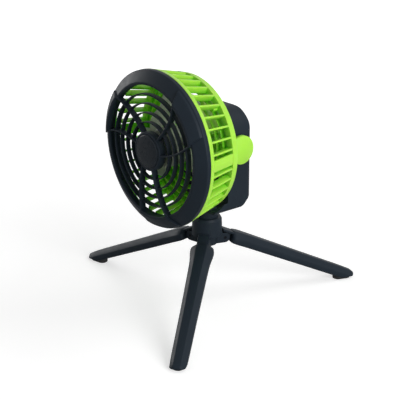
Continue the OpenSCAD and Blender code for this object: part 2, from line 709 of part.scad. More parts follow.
module tripod_stud() color(steel) {
    translate([0, 0, hub_z - hub_floor - stud_head_t]) cylinder(r = stud_head_r, h = stud_head_t);
    translate([0, 0, hub_z - hub_floor - eps])
        cylinder(r = stud_r, h = neck_seat - hub_z + hub_floor + stud_bite);
}
module hub_plug() color(black_satin)
    translate([0, 0, pin_z - knuckle_r]) difference() {
        cylinder(r = plug_r - run, h = hub_z - hub_floor - stud_head_t - pin_z + knuckle_r);
        translate([0, 0, -1]) cylinder(r = plug_r - 2.5, h = 2);
    }
module leg_pin(i) color(steel) at_leg(i)
    translate([0, cheek_w / 2, 0]) rotate([90, 0, 0]) cylinder(r = pin_r, h = cheek_w);
module leg_pin_right() leg_pin(0);
module leg_pin_front() leg_pin(1);
module leg_pin_left() leg_pin(2);

// ======== legs ========
module leg_slice(s, w, low, top, flat)      // cross-section with bevelled top edges
    translate([s, 0, 0]) rotate([90, 0, 90]) linear_extrude(0.02)
        polygon([[-w / 2 + 1, -low], [w / 2 - 1, -low], [w / 2, -low + 1.5], [w / 2, top * 0.42],
            [flat / 2, top], [-flat / 2, top], [-w / 2, top * 0.42], [-w / 2, -low + 1.5]]);
module leg(i) color(black_satin) at_leg(i) difference() {
    union() {
        rotate([0, leg_drop, 0]) {
            s0 = knuckle_r + 1.6;
            cuts = [[s0, leg_w * 0.55, 2.2, 10.2, 9], [s0 + 4, leg_w * 0.86, leg_low, 10.8, 11],
                [s0 + 10, leg_w, leg_low, 11.6, 13], [s0 + 17, leg_w, leg_low, leg_top, 13],
                [65, leg_w * 0.84, leg_low, 11.8, 11],
                [leg_end - 12, leg_tip_w, leg_tip_low, leg_tip_top, 9]];
            for (k = [0:4]) hull() for (c = [cuts[k], cuts[k + 1]])
                leg_slice(c[0], c[1], c[2], c[3], c[4]);
            hull() {
                leg_slice(leg_end - 12, leg_tip_w, leg_tip_low, leg_tip_top, 9);
                leg_slice(leg_end - 4, leg_tip_w * 0.9, leg_tip_low, leg_tip_top * 0.86, 8);
                leg_slice(leg_end, leg_tip_w * 0.6, leg_tip_low, leg_tip_top * 0.55, 6);
            }
        }
        // tongue between the hub's cheeks
        translate([0, tongue_w / 2, 0]) rotate([90, 0, 0]) cylinder(r = knuckle_r, h = tongue_w);
        rotate([0, leg_drop, 0]) translate([0, -tongue_w / 2, -leg_low])
            cube([knuckle_r + 4, tongue_w, leg_low + 9.4]);
        // hood over the cheeks, which stops against the hub
        intersection() {
            rotate([0, leg_drop, 0]) translate([-12, -cheek_w / 2, hood_n])
                cube([knuckle_r + 16, cheek_w, hood_t]);
            translate([hub_r + gap - pin_off, -lot / 2, -lot / 2]) cube([lot, lot, lot]);
        }
    }
    translate([0, leg_w, 0]) rotate([90, 0, 0]) cylinder(r = pin_r + run, h = 2 * leg_w);
    translate([-lot / 2, -lot / 2, pad_t - pin_z - lot]) cube([lot * 2, lot, lot]);
    translate([pin_to_foot, 0, pad_t - pin_z]) translate([0, 0, -1])
        pad_outline(pad_l - 8, pad_w - 5, pad_plug + 1 + 0.1);
    // moulded hollow along the underside
    rotate([0, leg_drop, 0]) hull() {
        translate([30, -6, -leg_low - 1]) cube([1, 12, 7]);
        translate([leg_end - 44, -4, -leg_low - 1]) cube([1, 8, 6]);
    }
}
module pad_outline(l, w, h) {
    for (s = [-1, 1]) translate([s * (l - w) / 2, 0, 0]) cylinder(r = w / 2, h = h);
    translate([-(l - w) / 2, -w / 2, 0]) cube([l - w, w, h]);
}
module foot_pad(i) color(black_rubber) at_leg(i) translate([pin_to_foot, 0, -pin_z]) {
    pad_outline(pad_l, pad_w, pad_t);
    pad_outline(pad_l - 8.2, pad_w - 5.2, pad_t + pad_plug);
}
module leg_right() leg(0);
module leg_front() leg(1);
module leg_left() leg(2);
module foot_pad_right() foot_pad(0);
module foot_pad_front() foot_pad(1);
module foot_pad_left() foot_pad(2);

tripod_hub();
hub_plug();
tripod_stud();
swivel_washer();
leg_pin_right();
leg_pin_front();
leg_pin_left();
leg_right();
leg_front();
leg_left();
foot_pad_right();
foot_pad_front();
foot_pad_left();
neck();
neck_insert();
front_shell();
rear_shell();
pivot_bush_right();
pivot_bush_left();
battery_cells();
battery_tray();
circuit_board();
usb_socket();
indicator_lens();
housing_screws();
power_button();
front_grille();
hub_cap();
louvre_ring();
rear_cover();
motor();
motor_screws();
cover_screws();
pivot_washers();
pivot_screws();
impeller();
motor_shaft();
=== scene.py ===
# %% [markdown]
# # A portable camping fan, dressed for a studio picture
# The fan's solids come ready packed from the CAD side, in metres, and stand where
# they belong. This lesson gives them their real finishes and remakes the pieces
# whose soft edges and flowing shapes a plain solid can't show. It then sets up
# the floor, the lamps and the camera. It starts by loading the solids.

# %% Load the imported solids
import json
import math

import bmesh
import bpy
from mathutils import Matrix, Vector


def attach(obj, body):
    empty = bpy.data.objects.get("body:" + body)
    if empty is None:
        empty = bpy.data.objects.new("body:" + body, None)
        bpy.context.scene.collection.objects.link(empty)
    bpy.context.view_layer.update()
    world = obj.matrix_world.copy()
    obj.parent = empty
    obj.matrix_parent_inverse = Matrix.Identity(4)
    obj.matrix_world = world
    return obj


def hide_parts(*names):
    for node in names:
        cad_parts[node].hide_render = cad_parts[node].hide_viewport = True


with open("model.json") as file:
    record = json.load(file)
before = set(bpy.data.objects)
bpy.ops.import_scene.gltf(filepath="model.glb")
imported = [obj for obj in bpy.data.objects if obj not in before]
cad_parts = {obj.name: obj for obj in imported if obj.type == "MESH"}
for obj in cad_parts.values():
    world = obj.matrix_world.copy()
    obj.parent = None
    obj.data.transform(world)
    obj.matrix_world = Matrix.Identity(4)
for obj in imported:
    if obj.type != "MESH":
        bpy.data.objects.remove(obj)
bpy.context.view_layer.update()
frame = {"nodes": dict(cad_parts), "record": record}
nodes = frame["nodes"]
MM = 0.001

# %% [markdown]
# ## The camera
# The picture was taken from the fan's front left, a little above it, with a long
# lens. Fitting the rings, the feet and the housing of the solids to the picture
# gave the angle round the fan, the height above the horizon, the distance and the
# focal length in pixels. A sensor 36 mm wide turns those pixels into a lens.

# %% Place the camera
PICTURE_PX = 400
FOCAL_PX = 1258.55
SENSOR_MM = 36.0
TURN = math.radians(49.88)
RISE = math.radians(20.22)
DISTANCE = 1.550

to_camera = Vector((math.sin(TURN) * math.cos(RISE), -math.cos(TURN) * math.cos(RISE), math.sin(RISE)))
camera_right = Vector((math.cos(TURN), math.sin(TURN), 0))
camera_up = to_camera.cross(camera_right)
aim = Vector((0, 0, 120 * MM)) - 8.68 * MM * camera_right + 10.83 * MM * camera_up

camera_data = bpy.data.cameras.new("camera")
camera_data.sensor_width = SENSOR_MM
camera_data.lens = FOCAL_PX / PICTURE_PX * SENSOR_MM
camera_data.clip_start = 0.05
camera_data.clip_end = 50
camera = bpy.data.objects.new("camera", camera_data)
camera.location = aim + DISTANCE * to_camera
camera.rotation_euler = to_camera.to_track_quat("Z", "Y").to_euler()
bpy.context.scene.collection.objects.link(camera)
bpy.context.scene.camera = camera
bpy.context.scene.view_settings.view_transform = "Standard"
print("lens %.1f mm" % camera_data.lens)

# %% [markdown]
# ## Two helpers for finishes
# Colours are written as the hex values a designer would pick, which are meant for
# the eye, so one function turns them to the linear values that light is reckoned
# in. A second one adds a node, gives it its settings and links its sockets. Every
# finish below is built with these two.

# %% Helpers for colours and nodes
def linear(hex_colour):
    """A hex colour for the eye, such as 8CDC28, as linear red, green, blue and alpha."""
    parts = [int(hex_colour[i:i + 2], 16) / 255 for i in (0, 2, 4)]
    return [p / 12.92 if p <= 0.04045 else ((p + 0.055) / 1.055) ** 2.4 for p in parts] + [1.0]


def add(tree, kind, sockets=None, **settings):
    """Adds one node. sockets gives each input a value, or another node's output to link."""
    node = tree.nodes.new(kind)
    for name, value in settings.items():
        setattr(node, name, value)
    for name, value in (sockets or {}).items():
        if isinstance(value, bpy.types.NodeSocket):
            tree.links.new(value, node.inputs[name])
        else:
            node.inputs[name].default_value = value
    return node


def start_finish(name):
    """A new material with its shader and a plain Object coordinate to hang patterns on."""
    material = bpy.data.materials.new(name)
    material.use_nodes = True
    tree = material.node_tree
    shader = tree.nodes["Principled BSDF"]
    place = add(tree, "ShaderNodeTexCoord").outputs["Object"]
    return material, tree, shader, place


# %% [markdown]
# ## Moulded plastics
# Nearly all of the fan is injection-moulded ABS. The mould's steel is etched, which
# leaves a fine satin grain, and long flat faces carry a faint unevenness where the
# plastic shrank. The grain on the real fan is about 0.1 mm and wouldn't show, so it
# is drawn at about 0.6 mm. A moulding has no knife-sharp corner either, so a Bevel
# node rounds the light over the last half millimetre of each one. One function
# makes each moulded finish, because the same process made them all and only the
# pigment and the polish differ. The lime is a translucent grade, and its colour is
# painted deeper and greener where Ambient Occlusion finds the surface enclosed:
# painted light, standing in for light that has crossed several walls.

# %% A finish for moulded plastic
def moulded(name, colour, tone, roughness, grain_mm=0.6, grain=0.06, gloss=0.5):
    """tone is the pigment where the plastic flowed thinner, mixed in softly over 30 mm."""
    material, tree, shader, place = start_finish(name)
    flow = add(tree, "ShaderNodeTexNoise", {"Vector": place, "Scale": 1 / (30 * MM), "Detail": 3.0})
    mixed = add(tree, "ShaderNodeMix", {"Factor": flow.outputs["Fac"], "A": linear(colour),
                                        "B": linear(tone)}, data_type="RGBA")
    tree.links.new(mixed.outputs["Result"], shader.inputs["Base Color"])
    handled = add(tree, "ShaderNodeTexNoise", {"Vector": place, "Scale": 1 / (9 * MM), "Detail": 6.0,
                                               "Roughness": 0.65})
    polish = add(tree, "ShaderNodeMapRange", {
        "Value": handled.outputs["Fac"], "From Min": 0.3, "From Max": 0.7,
        "To Min": roughness - 0.05, "To Max": roughness + 0.06})
    tree.links.new(polish.outputs["Result"], shader.inputs["Roughness"])
    etched = add(tree, "ShaderNodeTexNoise", {"Vector": place, "Scale": 1 / (grain_mm * MM), "Detail": 2.0})
    shrink = add(tree, "ShaderNodeTexNoise", {"Vector": place, "Scale": 1 / (14 * MM), "Detail": 1.0})
    corner = add(tree, "ShaderNodeBevel", {"Radius": 0.5 * MM}, samples=6)
    fine = add(tree, "ShaderNodeBump", {"Height": etched.outputs["Fac"], "Strength": grain,
                                        "Distance": 0.1 * MM, "Normal": corner.outputs["Normal"]})
    broad = add(tree, "ShaderNodeBump", {"Height": shrink.outputs["Fac"], "Strength": 0.05,
                                         "Distance": 0.6 * MM, "Normal": fine.outputs["Normal"]})
    tree.links.new(broad.outputs["Normal"], shader.inputs["Normal"])
    shader.inputs["Specular IOR Level"].default_value = gloss
    shader.inputs["IOR"].default_value = 1.53
    return material


black_satin = moulded("black_satin_abs", "1B222A", "1F2830", 0.44, gloss=0.09)
black_cap = moulded("black_gloss_abs", "171E25", "1B232A", 0.28, grain=0.02, gloss=0.16)
lime = moulded("lime_abs", "A8E04C", "A0DA44", 0.34, grain=0.03, gloss=0.16)
lime_tree = lime.node_tree
lime_shader = lime_tree.nodes["Principled BSDF"]
lime_shader.inputs["Subsurface Weight"].default_value = 0.45
lime_shader.inputs["Subsurface Radius"].default_value = (0.6, 1.0, 0.25)
lime_shader.inputs["Subsurface Scale"].default_value = 2.5 * MM
# Painted light: where Ambient Occlusion finds the lime enclosed, its colour is mixed towards a deeper
# green, 74E41A, in place of light that has crossed the walls.
PAINTED_LIGHT_REACH = 120 * MM
outer_lime = lime_shader.inputs["Base Color"].links[0].from_socket
enclosure_ao = add(lime_tree, "ShaderNodeAmbientOcclusion", {"Distance": PAINTED_LIGHT_REACH}, samples=8)
depth = add(lime_tree, "ShaderNodeMapRange", {
    "Value": enclosure_ao.outputs["AO"], "From Min": 0.08, "From Max": 0.42})
lime_with_painted_light = add(lime_tree, "ShaderNodeMix", {"Factor": depth.outputs["Result"], "A": linear("74E41A"),
                                            "B": outer_lime}, data_type="RGBA")
lime_tree.links.new(lime_with_painted_light.outputs["Result"], lime_shader.inputs["Base Color"])
acetal = moulded("natural_acetal", "DAD9CF", "D2D1C6", 0.38)
sleeve = moulded("battery_sleeve_pvc", "3F74A0", "376A96", 0.30, grain=0.02)
solder_mask = moulded("board_solder_mask", "1C5A34", "1A5230", 0.34)
print("moulded finishes:", [m.name for m in bpy.data.materials])

# %% [markdown]
# ## Rubber, smoke plastic and metals
# The feet and the power button are soft rubber, which is dull and picks up dust.
# The fan's blades are smoke-tinted polycarbonate: part of the light passes, and
# the rest scatters as a pale grey green. The few metal parts are zinc-plated or drawn steel and
# a brass insert, with the fine lines that turning leaves.

# %% Finishes for rubber, blades and metal
def rubber(name, colour, dust):
    material, tree, shader, place = start_finish(name)
    specks = add(tree, "ShaderNodeTexNoise", {"Vector": place, "Scale": 1 / (1.2 * MM), "Detail": 8.0,
                                              "Roughness": 0.75})
    amount = add(tree, "ShaderNodeMapRange", {
        "Value": specks.outputs["Fac"], "From Min": 0.5, "From Max": 0.8})
    mixed = add(tree, "ShaderNodeMix", {"Factor": amount.outputs["Result"], "A": linear(colour),
                                        "B": linear(dust)}, data_type="RGBA")
    tree.links.new(mixed.outputs["Result"], shader.inputs["Base Color"])
    bump = add(tree, "ShaderNodeBump", {
        "Height": specks.outputs["Fac"], "Strength": 0.25, "Distance": 0.2 * MM})
    tree.links.new(bump.outputs["Normal"], shader.inputs["Normal"])
    shader.inputs["Roughness"].default_value = 0.75
    return material


def metal(name, colour, roughness, lines_mm):
    material, tree, shader, place = start_finish(name)
    shader.inputs["Metallic"].default_value = 1.0
    blotch = add(tree, "ShaderNodeTexNoise", {"Vector": place, "Scale": 1 / (6 * MM), "Detail": 4.0})
    darker = [0.86 * c for c in linear(colour)[:3]] + [1.0]
    mixed = add(tree, "ShaderNodeMix", {"Factor": blotch.outputs["Fac"], "A": linear(colour),
                                        "B": darker}, data_type="RGBA")
    tree.links.new(mixed.outputs["Result"], shader.inputs["Base Color"])
    lines = add(tree, "ShaderNodeTexNoise", {"Vector": place, "Scale": 1 / (lines_mm * MM), "Detail": 3.0})
    polish = add(tree, "ShaderNodeMapRange", {
        "Value": lines.outputs["Fac"], "From Min": 0.3, "From Max": 0.7,
        "To Min": roughness - 0.07, "To Max": roughness + 0.1})
    tree.links.new(polish.outputs["Result"], shader.inputs["Roughness"])
    bump = add(tree, "ShaderNodeBump", {
        "Height": lines.outputs["Fac"], "Strength": 0.1, "Distance": 0.05 * MM})
    tree.links.new(bump.outputs["Normal"], shader.inputs["Normal"])
    return material


foot_rubber = rubber("foot_rubber", "17181A", "4A4845")
button_rubber = rubber("soft_touch_silicone", "26292E", "3A3C40")
plated = metal("zinc_plated_steel", "C9CCD0", 0.3, 0.8)
coated = metal("black_coated_steel", "1B1D20", 0.4, 0.8)
can_steel = metal("blackened_can_steel", "4A4D52", 0.4, 1.4)
brass = metal("turned_brass", "D9B36A", 0.28, 0.7)

smoke, smoke_tree, smoke_shader, smoke_place = start_finish("smoke_polycarbonate")
haze = add(smoke_tree, "ShaderNodeTexNoise", {"Vector": smoke_place, "Scale": 1 / (18 * MM), "Detail": 3.0})
tint = add(smoke_tree, "ShaderNodeMix", {"Factor": haze.outputs["Fac"], "A": linear("C4CCB8"),
                                         "B": linear("D0D6C6")}, data_type="RGBA")
smoke_tree.links.new(tint.outputs["Result"], smoke_shader.inputs["Base Color"])
smoke_shader.inputs["Roughness"].default_value = 0.28
smoke_shader.inputs["Transmission Weight"].default_value = 0.45
smoke_shader.inputs["IOR"].default_value = 1.2

pipe, pipe_tree, pipe_shader, pipe_place = start_finish("frosted_light_pipe")
frost = add(pipe_tree, "ShaderNodeTexNoise", {"Vector": pipe_place, "Scale": 1 / (0.7 * MM), "Detail": 2.0})
frost_bump = add(pipe_tree, "ShaderNodeBump", {"Height": frost.outputs["Fac"], "Strength": 0.2,
                                               "Distance": 0.1 * MM})
pipe_tree.links.new(frost_bump.outputs["Normal"], pipe_shader.inputs["Normal"])
pipe_shader.inputs["Base Color"].default_value = linear("E4EAEE")
pipe_shader.inputs["Roughness"].default_value = 0.4
pipe_shader.inputs["Transmission Weight"].default_value = 0.5

# %% [markdown]
# ## Dress the solids
# A CAD solid whose shape is right keeps its mesh and only gets its finish. The
# record says which material each solid is made of, so a short list pairs the
# record's names with the finishes above.

# %% Give each solid its finish
FINISH_OF = {
    "black_plastic": black_satin, "black_gloss": black_cap, "black_rubber": foot_rubber,
    "button_rubber": button_rubber, "bush_plastic": acetal, "lime_plastic": lime, "smoke_plastic": smoke,
    "steel": plated, "black_steel": coated, "motor_steel": can_steel, "brass": brass, "cell_wrap": sleeve,
    "board": solder_mask, "lens": pipe,
}
for part in frame["record"]["subparts"]:
    node = nodes[part["node"]]
    node.data.materials.clear()
    node.data.materials.append(FINISH_OF[part["material_slot"]])

# %% [markdown]
# ## Building in the head's own frame
# The head's turned and swirled shapes are easiest to think of looking straight at
# it: X across, Y up and Z forwards, in millimetres, from the tilt axis. One matrix
# takes such a shape to its place on the fan. A second helper closes a piece: it
# moves the shape there, makes all faces point outwards, shades the curves smooth and
# keeps real corners sharp, hangs it on the body that carries it and hides the
# solids it stands for.

# %% Frames and the end of each piece
PIVOT_FORWARD = 3.0
PIVOT_HIGH = 213.0
HEAD = (Matrix.Scale(MM, 4) @ Matrix.Translation((0, -PIVOT_FORWARD, PIVOT_HIGH))
        @ Matrix.Rotation(math.radians(90), 4, "X"))


def finish_piece(shape, name, finish, body, stands_for, frame_matrix=HEAD, sharp=32):
    """Turns a bmesh into a piece that rides on a body and replaces the named solids."""
    bmesh.ops.transform(shape, matrix=frame_matrix, verts=shape.verts)
    bmesh.ops.recalc_face_normals(shape, faces=shape.faces)
    mesh = bpy.data.meshes.new(name)
    shape.to_mesh(mesh)
    shape.free()
    mesh.shade_smooth()
    mesh.set_sharp_from_angle(angle=math.radians(sharp))
    piece = bpy.data.objects.new(name, mesh)
    bpy.context.scene.collection.objects.link(piece)
    mesh.materials.append(finish)
    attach(piece, body)
    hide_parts(*stands_for)
    print(name, len(mesh.vertices), "vertices")


# %% [markdown]
# ## Turned shapes and curved bars
# Two ways of shaping cover most of the head. A ring or a disc is a profile spun
# round the axis, and its corners are rounded before it is spun, as the mould's
# corners are. A bar, an arm or a louvre is a block with bevelled edges that is cut
# along its length and bent to follow its line.

# %% Join, spin a rounded profile, and bend a bevelled block
def join_into(shape, part):
    """Adds a finished part to a shape and frees the part."""
    spare = bpy.data.meshes.new("spare")
    part.to_mesh(spare)
    part.free()
    shape.from_mesh(spare)
    bpy.data.meshes.remove(spare)


def spin_profile(shape, profile, steps, soften=0.0, turn=360.0, start=0.0):
    """Spins a closed profile of (radius, forwards) points. soften rounds its corners."""
    corners = [shape.verts.new((r * math.cos(math.radians(start)), r * math.sin(math.radians(start)), z))
               for r, z in profile]
    face = shape.faces.new(corners)
    if soften:
        rounded = bmesh.ops.bevel(shape, geom=corners, offset=soften, segments=3, profile=0.5,
                                  affect="VERTICES", material=-1)
        face = rounded["verts"][0].link_faces[0]
    outline = list(face.edges)
    if turn == 360.0:
        shape.faces.remove(face)
        bmesh.ops.spin(shape, geom=outline + list({v for e in outline for v in e.verts}), cent=(0, 0, 0),
                       axis=(0, 0, 1), angle=2 * math.pi, steps=steps, use_merge=True)
        return
    bmesh.ops.spin(shape, geom=[face] + outline + list(face.verts), cent=(0, 0, 0), axis=(0, 0, 1),
                          angle=math.radians(turn), steps=steps)


def bent_block(shape, bend, length_cuts, soften, soften_mm=(1.0, 1.0, 1.0)):
    """A block whose point (along, across, deep), each from -0.5 to 0.5, goes to bend(along, across, deep).
    soften is the bevel in millimetres on a block of about soften_mm's size."""
    block = bmesh.new()
    bmesh.ops.create_cube(block, size=1.0, matrix=Matrix.Diagonal((*soften_mm, 1)))
    along = [e for e in block.edges if abs(e.verts[0].co.x - e.verts[1].co.x) > soften_mm[0] / 2]
    if soften:
        bmesh.ops.bevel(block, geom=list(block.edges), offset=soften, segments=2, profile=0.5,
                        affect="EDGES", material=-1)
        along = [e for e in block.edges if abs(e.verts[0].co.x - e.verts[1].co.x) > soften_mm[0] / 2]
    bmesh.ops.subdivide_edges(block, edges=along, cuts=length_cuts, use_grid_fill=True)
    for v in block.verts:
        v.co = bend(v.co.x / soften_mm[0], v.co.y / soften_mm[1], v.co.z / soften_mm[2])
    join_into(shape, block)


# %% [markdown]
# ## The louvred ring
# The lime ring is one moulding: a solid band at the front, another at the rear,
# and thin bars between them that all stand on lines through the axis. It widens
# towards the front. Each side has one wide land where the mould's halves met. The
# bars have rounded outer edges, which catch a fine line of light, so each is a
# bevelled block bent to the ring's cone.

# %% Louvred ring
RIM_R, REAR_R = 95.0, 83.0
RING_BACK, RING_DEPTH = 21.0, 50.7
SEAM = RING_BACK + RING_DEPTH
FRONT_BAND, REAR_BAND = 6.0, 9.5
RING_WALL, BAR_THICK, BAR_DEEP, COVER_THICK = 3.0, 2.4, 9.0, 6.0
LAND_HALF = 6.7
FIRST_BAR, BARS_PER_QUARTER = 8.0, 9
LUG_R = 3.8


def ring_radius(z):
    return REAR_R + (RIM_R - REAR_R) * (z - RING_BACK) / RING_DEPTH


ring_shape = bmesh.new()
window = (RING_BACK + REAR_BAND, SEAM - FRONT_BAND)
flange = ring_radius(window[0]) - BAR_DEEP - 0.3
spin_profile(ring_shape, [(REAR_R - 0.8, RING_BACK), (REAR_R, RING_BACK + 0.8),
                          (ring_radius(window[0]), window[0]),
                          (flange, window[0]), (flange, RING_BACK + COVER_THICK + 0.2),
                          (REAR_R - RING_WALL, RING_BACK + COVER_THICK + 0.2),
                          (REAR_R - RING_WALL, RING_BACK)],
             144, 0.35)
spigot = RIM_R - 3.0
spin_profile(ring_shape, [(ring_radius(window[1]), window[1]), (RIM_R, SEAM), (spigot, SEAM),
                          (spigot, SEAM + 3.5),
                          (spigot - 2.2, SEAM + 3.5), (spigot - 2.2, SEAM - 3),
                          (ring_radius(window[1]) - RING_WALL, window[1])], 144, 0.35)


def ring_block(middle, width, deep, soften=0.5):
    """A bar or land between the bands, width mm across, round a line at the angle middle."""
    def bend(along, across, inward):
        z = window[0] - 0.5 + (along + 0.5) * (window[1] - window[0] + 1.0)
        r = ring_radius(z) - 0.25 - (0.5 - inward) * deep
        side = across * width
        a = math.radians(middle) + math.asin(side / r)
        return Vector((r * math.cos(a), r * math.sin(a), z))
    bent_block(ring_shape, bend, 1 if width < 5 else 2, soften, (window[1] - window[0], width, deep))


step = (90 - FIRST_BAR) / BARS_PER_QUARTER
angles = [FIRST_BAR + step * k for k in range(BARS_PER_QUARTER)]
bars = sorted({round(a, 3) for b in angles for a in (b, -b, 180 - b, b - 180)} | {90.0, -90.0})
for angle in bars:
    ring_block(angle, BAR_THICK, BAR_DEEP)
for angle in (0, 180):
    ring_block(angle, 2 * LAND_HALF, RING_WALL, 0.4)
for corner in range(4):
    lug = bmesh.new()
    turned = (Matrix.Rotation(math.radians(45 + 90 * corner), 4, "Z")
              @ Matrix.Translation((REAR_R - 6.5, 0, RING_BACK + 11)))
    bmesh.ops.create_cone(lug, cap_ends=True, segments=40, radius1=LUG_R, radius2=LUG_R, depth=10,
                          matrix=turned)
    join_into(ring_shape, lug)
finish_piece(ring_shape, "louvred_ring", lime, "head", ["louvre_ring"])

# %% [markdown]
# ## The front grille
# The grille and its cowl are one black moulding. Three pairs of arms swirl from
# the hub to the rim. Between the two arms of a pair the rim stands a step higher,
# and that step follows the arms. Four rings tie the arms together, set back from
# the arms' front edges, and the outermost runs deepest. Both curves were measured on the picture at three
# radii, and a parabola through each three gives the angle at any radius.

# %% Curves of the arms
MOUTH_R, LIP_W, LIP_Z, CREASE_Z = 78.0, 4.2, 13.4, 5.2
SECTOR_STEP, COWL_WALL, BADGE_R, HUB_RIM_R = 3.6, 2.2, 21.5, 23.3
MOUTH_DEEP = 8.0
ARM_THICK, ARM_DEEP = 1.9, 8.0
ARM_FRONT = SEAM + 16
ARM_RADII = (24.0, 50.0, 80.0)
LOW_ARM, HIGH_ARM = (119.8, 129.4, 138.8), (166.3, 167.7, 175.1)


def arm_angle(r, arm):
    x, total = ARM_RADII, 0.0
    for i in range(3):
        j, k = (i + 1) % 3, (i + 2) % 3
        total += arm[i] * (r - x[j]) * (r - x[k]) / ((x[i] - x[j]) * (x[i] - x[k]))
    return total


def on_arm(r, arm, side=0.0):
    here, ahead = (Vector((q * math.cos(math.radians(arm_angle(q, arm))),
                           q * math.sin(math.radians(arm_angle(q, arm))))) for q in (r, r + 0.5))
    way = (ahead - here).normalized()
    return here + side * Vector((-way.y, way.x))


# %% Front grille and cowl
def cowl_profile(step):
    lip = LIP_Z + step
    return [(RIM_R, SEAM), (RIM_R - 0.3 - step / 2, SEAM + CREASE_Z + step),
            (MOUTH_R + LIP_W, SEAM + lip - 0.5),
            (MOUTH_R + LIP_W - 1, SEAM + lip), (MOUTH_R, SEAM + lip), (MOUTH_R, SEAM + LIP_Z - MOUTH_DEEP),
            (MOUTH_R + COWL_WALL - 0.4, SEAM + LIP_Z - MOUTH_DEEP),
            (MOUTH_R + COWL_WALL, SEAM + LIP_Z - COWL_WALL),
            (MOUTH_R + LIP_W, SEAM + LIP_Z - COWL_WALL - 0.4),
            (RIM_R - 0.6 - COWL_WALL, SEAM + CREASE_Z - 1.3), (RIM_R - 0.6 - COWL_WALL, SEAM)]


grille_shape = bmesh.new()
spin_profile(grille_shape, cowl_profile(0), 192, 0.5)
for turn in (0, 120, 240):
    sector = bmesh.new()
    spin_profile(sector, cowl_profile(SECTOR_STEP), 24, 0.5, turn=60.0)
    corners = [e for e in sector.edges if e.calc_face_angle(0) > math.radians(80)]
    bmesh.ops.bevel(sector, geom=corners, offset=0.45, segments=2, profile=0.5, affect="EDGES", material=-1)
    for v in sector.verts:
        r = math.hypot(v.co.x, v.co.y)
        share = math.degrees(math.atan2(v.co.y, v.co.x)) / 60.0
        low = arm_angle(r, LOW_ARM)
        a = math.radians(turn + low + share * (arm_angle(r, HIGH_ARM) - low))
        v.co.x, v.co.y = r * math.cos(a), r * math.sin(a)
    join_into(grille_shape, sector)
for turn in (0, 120, 240):
    for arm in (LOW_ARM, HIGH_ARM):
        def bend(along, across, deep):
            r = BADGE_R - 1.5 + (along + 0.5) * (MOUTH_R + 1.2 - BADGE_R + 1.5)
            p = Matrix.Rotation(math.radians(turn), 2) @ on_arm(r, arm, across * ARM_THICK)
            return Vector((p.x, p.y, ARM_FRONT + (deep - 0.5) * ARM_DEEP))
        bent_block(grille_shape, bend, 24, 0.5, (55.0, ARM_THICK, ARM_DEEP))
RING_SET_BACK, HALF_RING = 2.5, 0.75
GRILLE_RINGS = ((34.2, 6.0), (45.2, 6.0), (56.2, 6.0), (67.2, 7.5))  # radius, depth
for r, deep in GRILLE_RINGS:
    z = ARM_FRONT - RING_SET_BACK
    spin_profile(grille_shape, [(r - HALF_RING, z), (r + HALF_RING, z), (r + HALF_RING, z - deep),
                                (r - HALF_RING, z - deep)], 128, 0.5)
base = ARM_FRONT - 9
spin_profile(grille_shape, [(BADGE_R - 3.5, base), (HUB_RIM_R - 1, base), (HUB_RIM_R, base + 1),
                            (HUB_RIM_R, base + 9.2), (HUB_RIM_R - 0.8, base + 10),
                            (BADGE_R - 1.6, base + 10), (BADGE_R - 1.6, base + 8), (0.01, base + 8),
                            (0.01, base + 6), (BADGE_R - 3.5, base + 6)], 128, 0.4)
finish_piece(grille_shape, "swirl_grille", black_satin, "head", ["front_grille"])

# %% [markdown]
# ## The rear grille
# The rear cover's rings run deep towards the blades, and through the side windows
# their walls fill the view with lime. The solid's rings stop just short of an
# opening that the record keeps free, and these run 3.2 mm into it, so the two
# models differ here. The cover is a copy of the solid, its loose triangles
# merged, with a deeper ring spun over each of the solid's.

# %% Rear cover with deep rings
REAR_RINGS, REAR_RING_THICK, REAR_RING_DEEP = (35.0, 46.0, 57.0, 68.0), 1.9, 9.5
cover_shape = bmesh.new()
cover_shape.from_mesh(nodes["rear_cover"].data)
bmesh.ops.transform(cover_shape, matrix=HEAD.inverted(), verts=cover_shape.verts)
bmesh.ops.remove_doubles(cover_shape, verts=cover_shape.verts, dist=0.002)
for r in REAR_RINGS:
    low = RING_BACK + 0.7
    high = low + REAR_RING_DEEP
    spin_profile(cover_shape, [(r - REAR_RING_THICK / 2, low), (r + REAR_RING_THICK / 2, low),
                               (r + REAR_RING_THICK / 2, high), (r - REAR_RING_THICK / 2, high)], 128, 0.4)
finish_piece(cover_shape, "rear_grille", lime, "head", ["rear_cover"], sharp=35)

# %% [markdown]
# ## The impeller
# Behind the grille sits the impeller, moulded in smoke plastic. Its blades are
# thin twisted sheets. A sheet starts as a flat grid: one way runs from the hub to
# the tip, and the other from the leading to the trailing edge. Each point is then
# taken to its radius, angle and depth, and Solidify gives the sheet its thickness.

# %% Impeller
FAN_FRONT, FAN_BACK, FAN_HUB_R, FAN_INNER_R = 66.0, 44.0, 24.0, 21.8
TIP_R, BLADES, BLADE_PHASE, BLADE_SPAN, BLADE_SWEEP, BLADE_DEEP = 71.5, 3, 160.0, 43.0, 68.0, 24.0
BLADE_MID = (RING_BACK + COVER_THICK + 4 + FAN_FRONT) / 2 + 1


def blade_point(u, w):
    """u runs from the hub to the tip, w across the blade. The sheet leaves the hub nearly square,
    then bends round a shoulder and runs ahead to its tip."""
    r = FAN_HUB_R - 1.0 + (TIP_R - FAN_HUB_R + 0.6) * u - 2.5 * u ** 8 * (2 * w - 1) ** 4
    bent = 0.7 / (1 + math.exp((0.36 - u) / 0.06)) + 0.3 * u
    across = BLADE_SPAN + 8 * math.sin(math.pi * u) - 8 * u
    a = math.radians(BLADE_PHASE - BLADE_SWEEP * bent - (1 - w) * across)
    z = BLADE_MID + BLADE_DEEP * (w - 0.5) * (1 - 0.2 * u) + 2 * math.sin(math.pi * w)
    return Vector((r * math.cos(a), r * math.sin(a), z))


